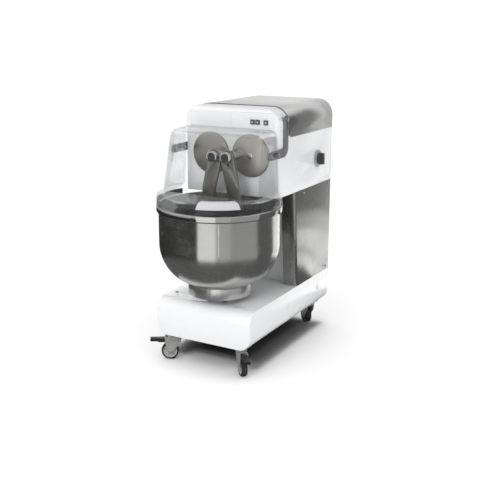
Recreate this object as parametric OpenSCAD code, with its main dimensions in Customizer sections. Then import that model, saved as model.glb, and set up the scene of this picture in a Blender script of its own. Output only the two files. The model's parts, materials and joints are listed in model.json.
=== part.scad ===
// Twin-arm (diving-arm) dough mixer on castors.
// A painted base carries a stainless column and a painted head. Two crank discs
// in the head turn in opposite directions and drive two arms into a turning
// bowl. A clear guard hinged on the head covers the front of the bowl.
// Millimetres, +Z up, front towards -Y, origin on the floor below the middle
// of the plan outline.

/* [Body] */
// Width of the base, the column and the head
body_w = 480; // [476:2:484]
// Length of the base, front to rear
base_l = 824; // [816:4:832]
// Height of the top of the machine
total_h = 1150; // [1148:1:1154]
// Height of the base's lower edge
base_bottom = 127; // [126:0.5:128]
// Height of the base's top face
base_top = 298; // [296:1:300]
// Radius of the base's long lower edges and lower front corners
base_edge_r = 56; // [50:2:60]
// Radius of the bend between the base's front and top
front_bend_r = 52; // [40:2:60]
// Height of the joint between the column and the head
head_bottom = 758; // [756:1:760]
// Radius of the head's long upper edges
head_edge_r = 75; // [70:1:80]
// Distance of the head's front behind the base's front
head_setback = 253; // [251:1:255]
// Thickness of the formed sheet steel
sheet_t = 2; // [1.5:0.5:2]

/* [Bowl] */
// Distance of the bowl's axis behind the base's front
bowl_setback = 157; // [155:1:159]
// Outer radius of the bowl's straight wall
bowl_r = 272; // [270:1:273]
// Outer radius of the bowl's rim band
rim_r = 281; // [280:0.5:282]
// Height of the rim
rim_z = 733; // [731:1:734]
// Height of the underside of the bowl
bowl_low = 365; // [364:1:366]
// Radius of the curve between the bowl's wall and bottom
bowl_curve_r = 195; // [190:1:196]
// Wall thickness of the bowl
bowl_t = 2.5; // [2:0.5:3]
// Radius of the bowl's foot ring
foot_r = 144; // [140:1:146]

/* [Arms] */
// Height of the crank axes
crank_z = 937; // [935:1:939]
// Distance from a crank's axis to its pin
crank_throw = 68; // [67:0.5:68]
// Radius of a crank disc
disc_r = 93; // [90:1:94]
// Teeth of a crank gear
gear_teeth = 34; // [34]
// Module of the crank gears
gear_module = 6; // [6]
// Radius of an arm's hub
hub_r = 25; // [24:0.5:26]
// Thickness of an arm's plate
arm_t = 14; // [12:1:16]

/* [Guard] */
// Outer radius of the guard's round skirt
skirt_r = 281; // [280:0.5:282]
// Thickness of the clear plastic
guard_t = 4; // [3:1:4]
// Half the width of the guard at its shelf
guard_low_w = 245; // [244:1:246]
// Half the width of the guard below its roof
guard_high_w = 236; // [234:1:236]
// Height of the guard's roof
guard_top = 1058; // [1058:1:1059]
// Height of the guard's shelf
shelf_z = 790; // [788:1:792]
// Height of the guard's hinge axis
hinge_z = 1100; // [1098:1:1102]

/* [Castors] */
// Radius of a castor wheel
wheel_r = 40; // [40]
// Width of a castor wheel
wheel_w = 28; // [26:1:30]
// Distance of a wheel's axle behind its swivel axis
castor_trail = 34; // [32:1:36]

/* [Hidden] */
$fn = 72;

// main planes
half_w = body_w / 2;
gland_out = 28;
bowl_overhang = skirt_r - bowl_setback;
front_y = bowl_overhang - (bowl_overhang + base_l + gland_out) / 2;
rear_y = front_y + base_l;
bowl_y = front_y + bowl_setback;
head_y = front_y + head_setback;
cover_t = 1.5;
head_top = total_h - cover_t;
head_fillet_r = 22;
fit_gap = 0.05;

// cable gland on the rear cover
gland_x = -120;
gland_z = 345;
gland_r = 5.5;
gland_body_r = 9;

// column: its front leans back towards the foot and is recessed behind the bowl
col_bend_r = 12;
col_foot_y = front_y + 460;
col_top_y = front_y + 423;
col_lean = atan((col_foot_y - col_top_y) / (head_bottom - base_top));
flange_x = 168;
recess_y = front_y + 497;
rear_flange_x = 205;

// top cover
cover_y = head_y + 94;
cover_low = 1015;
cover_corner_r = 30;

// controls on the head's front
panel_x0 = 4;
panel_x1 = 216;
panel_z0 = 1044;
panel_z1 = 1124;
panel_corner_r = 50;
panel_t = 1.5;
button_size = 19;
button_z = 1087;
start_x = 113;
stop_x = 138;
speed_x = 178;
button_proud = 4;

// selector on the right side of the head
knob_y = rear_y - 160;
knob_z = 881;
knob_r = 28;
knob_plate_r = 40;
knob_plate_t = 4;
knob_len = 26;
knob_shaft_r = 6;

// crank gear train
crank_x = gear_module * gear_teeth / 2;
pin_x = crank_x - crank_throw;
disc_t = 16;
disc_proud = 6;
disc_y0 = head_y - disc_proud;
disc_y1 = disc_y0 + disc_t;
disc_gap = 2.5;
shaft_r = 17.5;
pin_r = 12;
pin_collar_r = 18;
collar_y = disc_y0 - 31;
hub_y0 = disc_y0 - 103;
hub_cap_t = 4;
arm_y = disc_y0 - 75;
bearing_r = 36;
bearing_w = 18;
case_front_y = head_y + 16;
case_rear_y = head_y + 231;
case_half_w = 200;
case_z0 = 792;
case_z1 = 1052;
gear_y0 = head_y + 171;
gear_w = 34;

// arms
arm_x0 = 12;
arm_x1 = 95;
fork_x = pin_x - 25;
fork_z = bowl_low + bowl_curve_r;
fork_r = 110;
eye_r = hub_r + 7;
slot_r = 7;
slot_z = 575;

// belts and pulleys: the rear groove drives the cranks, the front one the bowl
belt_w = 13;
belt_h = 9;
groove_gap = 0.4;
arm_belt_y = front_y + 543;
bowl_belt_y = front_y + 521;
motor_x = -50;
motor_z = 540;
motor_foot = 78;
motor_groove_r = 36;
crank_groove_r = 88;
worm_x = 55;
worm_z = 205;
worm_groove_r = 52;
worm_r = 14;

// bowl drive
boss_r = 58;
boss_top = base_top + 18;
foot_low = 325;
spindle_r = 20;
reducer_r = 78;
reducer_z0 = 150;
reducer_z1 = 262;

// guard
guard_rear_y = head_y - 2;
window_low_y = bowl_y - 128;
window_high_y = bowl_y - 82;
guard_corner_r = 70;
skirt_low = rim_z + 3;
shoulder_r = 25;
seal_t = 3;
seal_h = 24;
hinge_y = head_y + 61;
bar_w = 38;
bar_t = 5;
bar_x = half_w + 3;
bar_low_z = 956;
bar_bend_r = 44;
bar_front_y = head_y - 104;
rivet_r = 5;
rivet_y = [head_y - 80, head_y - 12];
pivot_r = 6;

// castors: [x, y, heading of the trailing wheel]
castor_h = base_bottom;
front_left = [-168, front_y + 50, 212];
front_right = [168, front_y + 50, 314];
rear_left = [-168, rear_y - 62, 150];
rear_right = [168, rear_y - 62, 140];
axle_r = 5;
king_r = 6;
fork_gap = 1.5;
leg_t = 3;
leg_y = wheel_w / 2 + fork_gap;
plate_t = 4;
crown_top = castor_h - 11;
crown_h = 8;
pedal_x = castor_trail + 14;
pedal_z = 94;
pedal_pin_r = 3;
pedal_len = 76;

// ---- helpers ----

// an outline in X and Z, extruded along Y
module along_y(y0, y1) {
    translate([0, y1, 0]) rotate([90, 0, 0]) linear_extrude(y1 - y0) children();
}

// an outline in Y and Z, extruded along X
module along_x(x0, x1) {
    translate([x0, 0, 0]) rotate([90, 0, 90]) linear_extrude(x1 - x0) children();
}

// an outline in X and Y, extruded along Z
module along_z(z0, z1) {
    translate([0, 0, z0]) linear_extrude(z1 - z0) children();
}

module rod_y(x, z, y0, y1, r) {
    translate([x, y1, z]) rotate([90, 0, 0]) cylinder(h = y1 - y0, r = r);
}

module rod_x(y, z, x0, x1, r) {
    translate([x0, y, z]) rotate([0, 90, 0]) cylinder(h = x1 - x0, r = r);
}

module slab(x0, x1, y0, y1, z0, z1) {
    translate([x0, y0, z0]) cube([x1 - x0, y1 - y0, z1 - z0]);
}

module both_sides() {
    children();
    mirror([1, 0, 0]) children();
}

// what a round corner takes off a square one
module corner_cut(r) {
    difference() {
        translate([-1, -1]) square(r + 1);
        translate([r, r]) circle(r);
    }
}

// a rectangle with a radius for each corner that has one
module plate(x0, x1, z0, z1, bl = 0, br = 0, tr = 0, tl = 0) {
    difference() {
        translate([x0, z0]) square([x1 - x0, z1 - z0]);
        if (bl > 0) translate([x0, z0]) corner_cut(bl);
        if (br > 0) translate([x1, z0]) mirror([1, 0]) corner_cut(br);
        if (tr > 0) translate([x1, z1]) mirror([1, 0]) mirror([0, 1]) corner_cut(tr);
        if (tl > 0) translate([x0, z1]) mirror([0, 1]) corner_cut(tl);
    }
}

// ---- base ----

// the base's outer form, or with t the same form inset by t
module base_form(t) {
    edge = base_edge_r - t;
    intersection() {
        along_y(front_y + t, rear_y - t)
            plate(-half_w + t, half_w - t, base_bottom + t, base_top - t, bl = edge, br = edge);
        along_x(-half_w, half_w)
            plate(front_y + t, rear_y - t, base_bottom + t, base_top - t, tl = front_bend_r - t);
    }
}

module base_shell() {
    open_x = half_w - base_edge_r;
    color("white") difference() {
        base_form(0);
        base_form(sheet_t);
        slab(-open_x, open_x, front_y + sheet_t, rear_y - sheet_t,
            base_bottom - 1, base_bottom + sheet_t + 1);
        translate([0, bowl_y, base_top - sheet_t - 1]) cylinder(h = sheet_t + 2, r = boss_r + 1);
        slab(-rear_flange_x + 5, rear_flange_x - 5, recess_y + 6, rear_y - 12,
            base_top - sheet_t - 1, base_top + 1);
    }
}

// longitudinal tubes, cross tubes, four posts and two head beams
module chassis_frame() {
    tube = 40;
    post = 30;
    side_x = 180;
    low_z = base_bottom;
    top_z = low_z + tube;
    rail_y0 = front_y + 20;
    rail_y1 = rear_y - 20;
    cross_y = [rail_y0, bowl_y + 130, rail_y1 - tube];
    post_y = [recess_y + 8, rail_y1 - post];
    head_rail_z = head_bottom + 4;
    post_x = side_x - 12;
    shelf_top = motor_z - motor_foot;
    color("dimgray") union() {
        both_sides() {
            slab(side_x - tube, side_x, rail_y0, rail_y1, low_z, top_z);
            for (y = post_y)
                slab(post_x, post_x + post, y, y + post, top_z - 1, head_rail_z + 1);
            slab(post_x, post_x + post, case_front_y, rail_y1, head_rail_z, case_z0);
        }
        for (y = cross_y)
            slab(-side_x, side_x, y, y + tube, low_z, top_z);
        // seats for the reducer under the bowl
        both_sides()
            slab(reducer_r - 8, side_x, bowl_y - 20, bowl_y + 20, low_z, reducer_z0);
        // brackets carry the posts' outer halves
        both_sides()
            for (y = post_y)
                slab(side_x - 1, post_x + post, y, y + post, top_z - 12, top_z);
        for (y = post_y)
            slab(-post_x - 1, post_x + 1, y, y + post, head_rail_z, head_rail_z + post);
        // shelf for the motor, stiffened at its rear
        slab(-post_x - 1, post_x + 1, post_y[0] + post - 1, post_y[1] + 1, shelf_top - 6, shelf_top);
        slab(-post_x - 1, post_x + 1, post_y[1], post_y[1] + post, shelf_top - post, shelf_top);
    }
}

// ---- column ----

module column_form(t) {
    bend = col_bend_r - t;
    intersection() {
        translate([0, col_foot_y, base_top]) rotate([col_lean, 0, 0])
            along_z(-60, head_bottom - base_top + 60)
                plate(-half_w + t, half_w - t, t, base_l, bl = bend, br = bend);
        slab(-half_w, half_w, front_y, rear_y - t, base_top, head_bottom);
    }
}

module side_cover() {
    color("silver") intersection() {
        difference() {
            column_form(0);
            column_form(cover_t);
        }
        union() {
            slab(flange_x, half_w + 1, front_y, recess_y + 100, base_top, head_bottom);
            slab(rear_flange_x, half_w + 1, recess_y, rear_y, base_top, head_bottom);
        }
    }
}

module right_side_cover() {
    side_cover();
}

module left_side_cover() {
    mirror([1, 0, 0]) side_cover();
}

// painted channel behind the bowl, between the two side covers
module column_front_panel() {
    panel_x = flange_x - 0.2;
    color("whitesmoke") difference() {
        intersection() {
            column_form(0);
            slab(-panel_x, panel_x, front_y, recess_y + sheet_t, base_top, head_bottom);
        }
        slab(-panel_x + sheet_t, panel_x - sheet_t, front_y, recess_y,
            base_top - 1, head_bottom + 1);
    }
}

// rear panel with two rows of louvres and the hole of the cable gland
module rear_cover() {
    panel_x = rear_flange_x - 0.2;
    slot_l = 130;
    slot_h = 6;
    color("silver") difference() {
        slab(-panel_x, panel_x, rear_y - cover_t, rear_y, base_top, head_bottom);
        for (row = [0 : 7], side = [-1, 1])
            translate([side * 85, 0, 470 + row * 24])
                slab(-slot_l / 2, slot_l / 2, rear_y - 5, rear_y + 5, 0, slot_h);
        rod_y(gland_x, gland_z, rear_y - 5, rear_y + 5, gland_body_r);
    }
}

// cable gland: body, locknut and dome round one bore
module cable_gland() {
    nut_r = 14;
    nut_h = 8;
    dome_r = 12;
    tip_y = rear_y + gland_out;
    color("dimgray") difference() {
        union() {
            rod_y(gland_x, gland_z, rear_y - 12, rear_y + nut_h, gland_body_r - 0.1);
            for (y = [rear_y - cover_t, rear_y + nut_h])
                translate([gland_x, y, gland_z]) rotate([90, 0, 0])
                    cylinder(h = y < rear_y ? nut_h - 2 : nut_h, r = nut_r, $fn = 6);
            rod_y(gland_x, gland_z, rear_y + nut_h, tip_y - 8, dome_r);
            rod_y(gland_x, gland_z, tip_y - 8, tip_y, gland_body_r);
        }
        rod_y(gland_x, gland_z, rear_y - 13, tip_y + 1, gland_r);
    }
}

// ---- head ----

module head_form(t) {
    edge = head_edge_r - t;
    fillet = head_fillet_r - t;
    intersection() {
        along_y(head_y + t, rear_y - t)
            plate(-half_w + t, half_w - t, head_bottom + t, head_top - t, tl = edge, tr = edge);
        along_z(head_bottom, head_top)
            plate(-half_w + t, half_w - t, head_y + t, rear_y, bl = fillet, br = fillet);
        along_x(-half_w, half_w)
            plate(head_y + t, rear_y, head_bottom, head_top - t, tl = fillet);
    }
}

module head_shell() {
    color("white") difference() {
        head_form(0);
        head_form(sheet_t);
        slab(-rear_flange_x + 5, rear_flange_x - 5, recess_y + 2.5, rear_y - sheet_t,
            head_bottom - 1, head_bottom + sheet_t + 1);
        for (x = [-crank_x, crank_x])
            rod_y(x, crank_z, head_y - 1, head_y + sheet_t + 1, disc_r + disc_gap);
        for (x = [start_x, stop_x, speed_x])
            slab(x - button_size / 2 - 0.6, x + button_size / 2 + 0.6, head_y - 1,
                head_y + sheet_t + 1, button_z - button_size / 2 - 0.6,
                button_z + button_size / 2 + 0.6);
        rod_x(knob_y, knob_z, half_w - sheet_t - 1, half_w + 1, knob_shaft_r + 0.5);
        both_sides()
            rod_x(hinge_y, hinge_z, half_w - 15, half_w + 1, pivot_r + fit_gap);
    }
}

// stainless wrap over the head's top and upper sides
module top_cover() {
    over = 1;
    color("lightgray") difference() {
        along_y(cover_y, rear_y)
            plate(-half_w - cover_t, half_w + cover_t, cover_low, total_h,
                tl = head_edge_r + cover_t, tr = head_edge_r + cover_t);
        along_y(cover_y - over, rear_y + over)
            plate(-half_w, half_w, cover_low - over, head_top, tl = head_edge_r, tr = head_edge_r);
        along_x(-half_w - 9, half_w + 9) translate([cover_y, cover_low])
            corner_cut(cover_corner_r);
    }
}

module control_panel() {
    hole = button_size + 1;
    color("gainsboro") difference() {
        along_y(head_y - panel_t, head_y)
            plate(panel_x0, panel_x1, panel_z0, panel_z1, bl = 4, br = 4, tr = panel_corner_r, tl = 4);
        for (x = [start_x, stop_x, speed_x])
            slab(x - hole / 2, x + hole / 2, head_y - panel_t - 1, head_y + 1,
                button_z - hole / 2, button_z + hole / 2);
    }
}

// sealed case with the contactor and the controller, behind the panel
module control_box() {
    wall = 4;
    x0 = 20;
    x1 = 205;
    y0 = head_y + 22;
    y1 = head_y + 92;
    z0 = case_z1 + 8;
    z1 = head_top - 26;
    color("gray") difference() {
        slab(x0, x1, y0, y1, z0, z1);
        slab(x0 + wall, x1 - wall, y0 + wall, y1 - wall, z0 + wall, z1 - wall);
    }
}

module button(x, shade) {
    flange = button_size + 5;
    color(shade) union() {
        slab(x - button_size / 2, x + button_size / 2, head_y - panel_t - button_proud,
            head_y + 9, button_z - button_size / 2, button_z + button_size / 2);
        slab(x - flange / 2, x + flange / 2, head_y + sheet_t + 0.2, head_y + 5,
            button_z - flange / 2, button_z + flange / 2);
    }
}

module start_button() {
    button(start_x, "darkslategray");
}

module stop_button() {
    button(stop_x, "darkslategray");
}

module speed_button() {
    button(speed_x, "slategray");
}

module knob_plate() {
    color("darkgray") difference() {
        union() {
            rod_x(knob_y, knob_z, half_w, half_w + knob_plate_t, knob_plate_r);
            rod_x(knob_y, knob_z, half_w + knob_plate_t - 1, half_w + knob_plate_t + 3, knob_r + 4);
        }
        rod_x(knob_y, knob_z, half_w - 1, half_w + knob_plate_t + 4, knob_shaft_r + fit_gap);
    }
}

// grip with a raised bar, on a shaft through the head's wall
module selector_knob() {
    face_x = half_w + knob_plate_t + 4;
    color("black") union() {
        rod_x(knob_y, knob_z, half_w - 22, face_x + 1, knob_shaft_r);
        rod_x(knob_y, knob_z, face_x, face_x + knob_len - 12, knob_r);
        slab(face_x, face_x + knob_len, knob_y - 6, knob_y + 6, knob_z - knob_r + 2,
            knob_z + knob_r - 2);
    }
}

// raised screw heads on the side covers and the rear cover
module cover_screws() {
    head_r = 5;
    head_h = 2.5;
    side_yz = [[front_y + 515, 740], [rear_y - 27, 740], [rear_y - 27, 314]];
    rear_xz = [[190, 330], [190, 730]];
    color("gainsboro") {
        both_sides() {
            for (p = side_yz)
                rod_x(p[0], p[1], half_w, half_w + head_h, head_r);
            for (p = rear_xz)
                rod_y(p[0], p[1], rear_y, rear_y + head_h, head_r);
        }
    }
}

// push-in plugs: white ones on the sides, black ones on the base's top
module hole_plugs() {
    color("whitesmoke") both_sides() {
        rod_x(rear_y - 122, 229, half_w, half_w + 3, 12.5);
        rod_x(head_y + 74, 935, half_w, half_w + 2.5, 12);
    }
    color("black")
        for (x = [-207, 54])
            translate([x, bowl_y - 46, base_top]) cylinder(h = 2, r = 7);
}

// ---- drive ----

// outline of a belt round two pulleys; h is the height above the groove's floor
module belt_loop(p1, r1, p2, r2, h) {
    steps = 32;
    span = p2 - p1;
    turn = atan2(span[1], span[0]);
    a1 = r1 + h;
    a2 = r2 + h;
    lean = acos((a1 - a2) / norm(span));
    arc2 = [for (k = [0 : steps]) turn - lean + 2 * lean * k / steps];
    arc1 = [for (k = [0 : steps]) turn + lean + (360 - 2 * lean) * k / steps];
    polygon([
        for (a = arc2) p2 + a2 * [cos(a), sin(a)],
        for (a = arc1) p1 + a1 * [cos(a), sin(a)]
    ]);
}

module belt(y, p1, r1, p2, r2) {
    color("black") difference() {
        along_y(y - belt_w / 2, y + belt_w / 2) belt_loop(p1, r1, p2, r2, groove_gap + belt_h);
        along_y(y - belt_w, y + belt_w) belt_loop(p1, r1, p2, r2, groove_gap);
    }
}

module arm_belt() {
    belt(arm_belt_y, [motor_x, motor_z], motor_groove_r, [-crank_x, crank_z], crank_groove_r);
}

module bowl_belt() {
    belt(bowl_belt_y, [motor_x, motor_z], motor_groove_r, [worm_x, worm_z], worm_groove_r);
}

// one grooved wheel of a pulley, its groove centred on y
module sheave(x, z, y, groove_r) {
    lip = 3;
    side = belt_w / 2 + 0.5;
    rod_y(x, z, y - side, y + side, groove_r);
    rod_y(x, z, y - side - lip, y - side, groove_r + belt_h + 2);
    rod_y(x, z, y + side, y + side + lip, groove_r + belt_h + 2);
}

module motor_pulley() {
    bore = 12;
    color("gray") difference() {
        union() {
            sheave(motor_x, motor_z, arm_belt_y, motor_groove_r);
            sheave(motor_x, motor_z, bowl_belt_y, motor_groove_r);
        }
        rod_y(motor_x, motor_z, bowl_belt_y - 20, arm_belt_y + 20, bore);
    }
    color("silver")
        rod_y(motor_x, motor_z, bowl_belt_y - 12, arm_belt_y + 24, bore);
}

module crank_pulley() {
    color("gray") difference() {
        sheave(-crank_x, crank_z, arm_belt_y, crank_groove_r);
        rod_y(-crank_x, crank_z, arm_belt_y - 20, arm_belt_y + 20, shaft_r + fit_gap);
        for (a = [0 : 60 : 300])
            rod_y(-crank_x + 54 * cos(a), crank_z + 54 * sin(a), arm_belt_y - 20,
                arm_belt_y + 20, 18);
    }
}

// foot-mounted motor with a helical gearbox in front
module gearmotor() {
    box_y0 = arm_belt_y + 26;
    box_y1 = box_y0 + 66;
    end_y = rear_y - 18;
    shelf_top = motor_z - motor_foot;
    color("slategray") difference() {
        union() {
            slab(motor_x - 62, motor_x + 62, box_y0, box_y1, shelf_top + 8, motor_z + 62);
            rod_y(motor_x, motor_z, box_y1 - 1, end_y, 66);
            rod_y(motor_x, motor_z, end_y - 36, end_y, 70);
            slab(motor_x - 70, motor_x + 70, box_y0, end_y - 40, shelf_top, shelf_top + 14);
            slab(motor_x - 40, motor_x + 40, box_y1 - 1, end_y - 40, shelf_top, motor_z - 40);
            slab(motor_x + 40, motor_x + 84, box_y1 + 20, box_y1 + 90, motor_z + 10, motor_z + 60);
        }
        rod_y(motor_x, motor_z, box_y0 - 1, box_y0 + 12, 13);
    }
}

// two bearing plates, a roof and a floor hold the crank gears
module gearbox_case() {
    t = bearing_w;
    skin = 6;
    rear = case_rear_y;
    color("darkgray") difference() {
        union() {
            slab(-case_half_w, case_half_w, case_front_y, case_front_y + t, case_z0, case_z1);
            slab(-case_half_w, case_half_w, rear, rear + t, case_z0, case_z1);
            slab(-case_half_w, case_half_w, case_front_y + t - 1, rear + 1, case_z1 - skin, case_z1);
            slab(-case_half_w, case_half_w, case_front_y + t - 1, rear + 1, case_z0, case_z0 + skin);
        }
        for (x = [-crank_x, crank_x])
            rod_y(x, crank_z, case_front_y - 1, rear + t + 1, bearing_r);
    }
}

module crank_bearings() {
    color("silver")
        for (x = [-crank_x, crank_x], y = [case_front_y, case_rear_y])
            difference() {
                rod_y(x, crank_z, y, y + bearing_w, bearing_r - fit_gap);
                rod_y(x, crank_z, y - 1, y + bearing_w + 1, shaft_r + fit_gap);
            }
}

module left_crank_shaft() {
    color("silver") rod_y(-crank_x, crank_z, disc_y1, arm_belt_y + 16, shaft_r);
}

module right_crank_shaft() {
    color("silver") rod_y(crank_x, crank_z, disc_y1, case_rear_y + bearing_w + 4, shaft_r);
}

// straight-flanked teeth with backlash; phase turns the first tooth
module gear_outline(phase) {
    pitch = 360 / gear_teeth;
    pitch_r = gear_module * gear_teeth / 2;
    tip_r = pitch_r + 0.85 * gear_module;
    root_r = pitch_r - 1.15 * gear_module;
    tip_a = pitch * 0.105;
    root_a = pitch * 0.26;
    polygon([
        for (n = [0 : gear_teeth - 1], k = [[root_r, -root_a], [tip_r, -tip_a],
                [tip_r, tip_a], [root_r, root_a]])
            let (a = phase + n * pitch + k[1]) [k[0] * cos(a), k[0] * sin(a)]
    ]);
}

module crank_gear(x, phase) {
    color("dimgray") difference() {
        along_y(gear_y0, gear_y0 + gear_w) translate([x, crank_z]) difference() {
            gear_outline(phase);
            for (a = [30 : 60 : 330])
                rotate(a) translate([60, 0]) circle(16);
        }
        rod_y(x, crank_z, gear_y0 - 1, gear_y0 + gear_w + 1, shaft_r + fit_gap);
    }
}

module left_crank_gear() {
    crank_gear(-crank_x, 0);
}

module right_crank_gear() {
    crank_gear(crank_x, 180 / gear_teeth);
}

// ---- cranks and arms; side is -1 on the left and 1 on the right ----

module crank_disc(side) {
    bevel = 3;
    color("rosybrown") difference() {
        union() {
            rod_y(side * crank_x, crank_z, disc_y0 + bevel, disc_y1, disc_r);
            rod_y(side * crank_x, crank_z, disc_y0, disc_y1, disc_r - bevel);
        }
        rod_y(side * pin_x, crank_z, disc_y0 - 1, disc_y1 + 1, pin_r + fit_gap);
    }
}

module left_crank_disc() {
    crank_disc(-1);
}

module right_crank_disc() {
    crank_disc(1);
}

module crank_pin(side) {
    color("silver") union() {
        rod_y(side * pin_x, crank_z, hub_y0 + hub_cap_t + 1, disc_y1 - 2, pin_r);
        rod_y(side * pin_x, crank_z, collar_y, disc_y0, pin_collar_r);
    }
}

module left_crank_pin() {
    crank_pin(-1);
}

module right_crank_pin() {
    crank_pin(1);
}

// bearing tube of an arm, closed by a cap in front
module arm_hub(side) {
    color("silver") difference() {
        rod_y(side * pin_x, crank_z, hub_y0, collar_y - 1, hub_r);
        rod_y(side * pin_x, crank_z, hub_y0 + hub_cap_t, collar_y, pin_r + fit_gap);
    }
}

module left_arm_hub() {
    arm_hub(-1);
}

module right_arm_hub() {
    arm_hub(1);
}

// the right arm's outline: an eye round the hub, a wide blade that leans
// outwards, a neck, and a fork with a round lower edge that clears the bowl
module arm_outline() {
    translate([pin_x, crank_z]) circle(eye_r);
    polygon([
        [3, crank_z - 6], [3, 900], [34, 770], [46, 700], [46, 650], [arm_x0, 606],
        [arm_x0, fork_z], [arm_x1, fork_z], [arm_x1, 606], [112, 650], [114, 728],
        [97, 768], [95, 800], [pin_x + eye_r - 1, crank_z - 6]
    ]);
    intersection() {
        translate([fork_x, fork_z]) circle(fork_r);
        translate([arm_x0, bowl_low]) square([arm_x1 - arm_x0, fork_z - bowl_low + 20]);
    }
}

module arm() {
    y0 = arm_y - arm_t / 2;
    y1 = arm_y + arm_t / 2;
    color("darkgray") difference() {
        along_y(y0, y1) arm_outline();
        rod_y(pin_x, crank_z, y0 - 1, y1 + 1, hub_r + fit_gap);
        for (x = [38, 69]) {
            rod_y(x, slot_z, y0 - 1, y1 + 1, slot_r);
            slab(x - slot_r, x + slot_r, y0 - 1, y1 + 1, bowl_low, slot_z);
        }
    }
}

module left_arm() {
    mirror([1, 0, 0]) arm();
}

module right_arm() {
    arm();
}

// ---- bowl ----

// half section of the bowl's outer form, or with t its inner form
module bowl_half(t, top) {
    wall = bowl_r - t;
    centre_r = bowl_r - bowl_curve_r;
    centre_z = bowl_low + bowl_curve_r;
    curve = bowl_curve_r - t;
    translate([0, centre_z]) square([wall, top - centre_z]);
    translate([0, bowl_low + t]) square([centre_r, centre_z - bowl_low]);
    intersection() {
        translate([centre_r, centre_z]) circle(curve, $fn = 144);
        translate([0, bowl_low]) square([wall, bowl_curve_r + 1]);
    }
}

module bowl() {
    band_h = 30;
    color("silver") translate([0, bowl_y, 0]) rotate_extrude($fn = 144) difference() {
        union() {
            bowl_half(0, rim_z);
            plate(bowl_r - 5, rim_r, rim_z - band_h, rim_z, br = 8, tr = 3);
        }
        bowl_half(bowl_t, rim_z + 2);
    }
}

// foot ring and hub plate under the bowl
module bowl_foot() {
    ring_t = 3;
    web_z = 344;
    web_t = 8;
    hub_h = 31;
    inner_r = foot_r - ring_t;
    ring_top = bowl_low + bowl_curve_r
        - sqrt(pow(bowl_curve_r, 2) - pow(inner_r - bowl_r + bowl_curve_r, 2)) - 0.1;
    color("silver") translate([0, bowl_y, 0]) difference() {
        union() {
            difference() {
                translate([0, 0, foot_low]) cylinder(h = ring_top - foot_low, r = foot_r);
                translate([0, 0, foot_low - 1]) cylinder(h = ring_top - foot_low + 2, r = inner_r);
            }
            translate([0, 0, web_z]) cylinder(h = web_t, r = inner_r + 0.5);
            translate([0, 0, bowl_low - hub_h]) cylinder(h = hub_h, r = 38);
        }
        translate([0, 0, foot_low]) cylinder(h = bowl_low, r = spindle_r + fit_gap);
    }
}

module bowl_spindle() {
    color("silver") translate([0, bowl_y, reducer_z0 + 14])
        cylinder(h = bowl_low - 3 - reducer_z0 - 14, r = spindle_r);
}

// flanged bearing boss that stands through the base's top
module bowl_bearing() {
    color("whitesmoke") translate([0, bowl_y, 0]) difference() {
        translate([0, 0, reducer_z1]) cylinder(h = boss_top - reducer_z1, r = boss_r);
        translate([0, 0, reducer_z1 - 1])
            cylinder(h = boss_top - reducer_z1 + 2, r = spindle_r + fit_gap);
    }
}

// worm reducer under the bowl; its hollow output turns the spindle
module bowl_reducer() {
    color("slategray") difference() {
        union() {
            translate([0, bowl_y, reducer_z0])
                cylinder(h = reducer_z1 - reducer_z0, r = reducer_r);
            rod_y(worm_x, worm_z, bowl_y - 70, bowl_y + 92, 32);
        }
        translate([0, bowl_y, reducer_z0 + 12])
            cylinder(h = reducer_z1, r = spindle_r + fit_gap);
        rod_y(worm_x, worm_z, bowl_y - 50, bowl_y + 93, worm_r + fit_gap);
    }
}

// worm shaft, carried back to the belt's plane, with its pulley
module worm_shaft() {
    color("silver") rod_y(worm_x, worm_z, bowl_y - 48, bowl_belt_y + 12, worm_r);
    color("gray") sheave(worm_x, worm_z, bowl_belt_y, worm_groove_r);
}

// ---- guard ----

// one thin level of the guard's upper part, inset by t
module guard_level(z, w, y, t) {
    r = guard_corner_r - t;
    translate([0, 0, z]) {
        for (side = [-1, 1])
            translate([side * (w - guard_corner_r), y + guard_corner_r, 0])
                cylinder(h = 1, r = r, $fn = 32);
        translate([-w + t, guard_rear_y - 20, 0]) cube([2 * (w - t), 30, 1]);
    }
}

// the guard's upper part: side walls, leaning window and rounded roof
module guard_upper(t, low) {
    roof = guard_top - 1;
    lean = (window_high_y - window_low_y) / 230;
    hull() {
        guard_level(low, guard_low_w + (shelf_z - low) * 0.04,
            window_low_y - (shelf_z - low) * lean, t);
        guard_level(roof - 40, guard_high_w, window_low_y + (roof - 40 - shelf_z) * lean, t);
        guard_level(roof - 22 - t / 3, guard_high_w - 3, window_high_y + 3, t);
        guard_level(roof - 8 - t * 0.7, guard_high_w - 13, window_high_y + 11, t);
        guard_level(roof - t, guard_high_w - 30, window_high_y + 26, t);
    }
}

// half section of the round skirt's form under the shelf, inset by t
module skirt_half(t, low) {
    plate(0, skirt_r - t, low, shelf_z - t, tr = shoulder_r - t);
}

module guard_shield() {
    color([0.85, 0.92, 0.95, 0.4]) difference() {
        union() {
            guard_upper(0, shelf_z - 2);
            translate([0, bowl_y, 0]) rotate_extrude($fn = 144) skirt_half(0, skirt_low);
        }
        guard_upper(guard_t, shelf_z - 14);
        translate([0, bowl_y, 0]) rotate_extrude($fn = 144) skirt_half(guard_t, skirt_low - 2);
        slab(-base_l, base_l, guard_rear_y, rear_y, 0, total_h);
        both_sides()
            for (y = rivet_y)
                rod_x(y, bar_low_z, half_w - 30, half_w + 30, rivet_r + fit_gap);
    }
}

// rubber strip inside the skirt's lower edge
module guard_seal() {
    outer = skirt_r - guard_t - fit_gap;
    color("black") difference() {
        translate([0, bowl_y, skirt_low - 1]) rotate_extrude($fn = 144)
            translate([outer - seal_t, 0]) square([seal_t, seal_h]);
        slab(-base_l, base_l, guard_rear_y - 1, rear_y, 0, total_h);
    }
}

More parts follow.
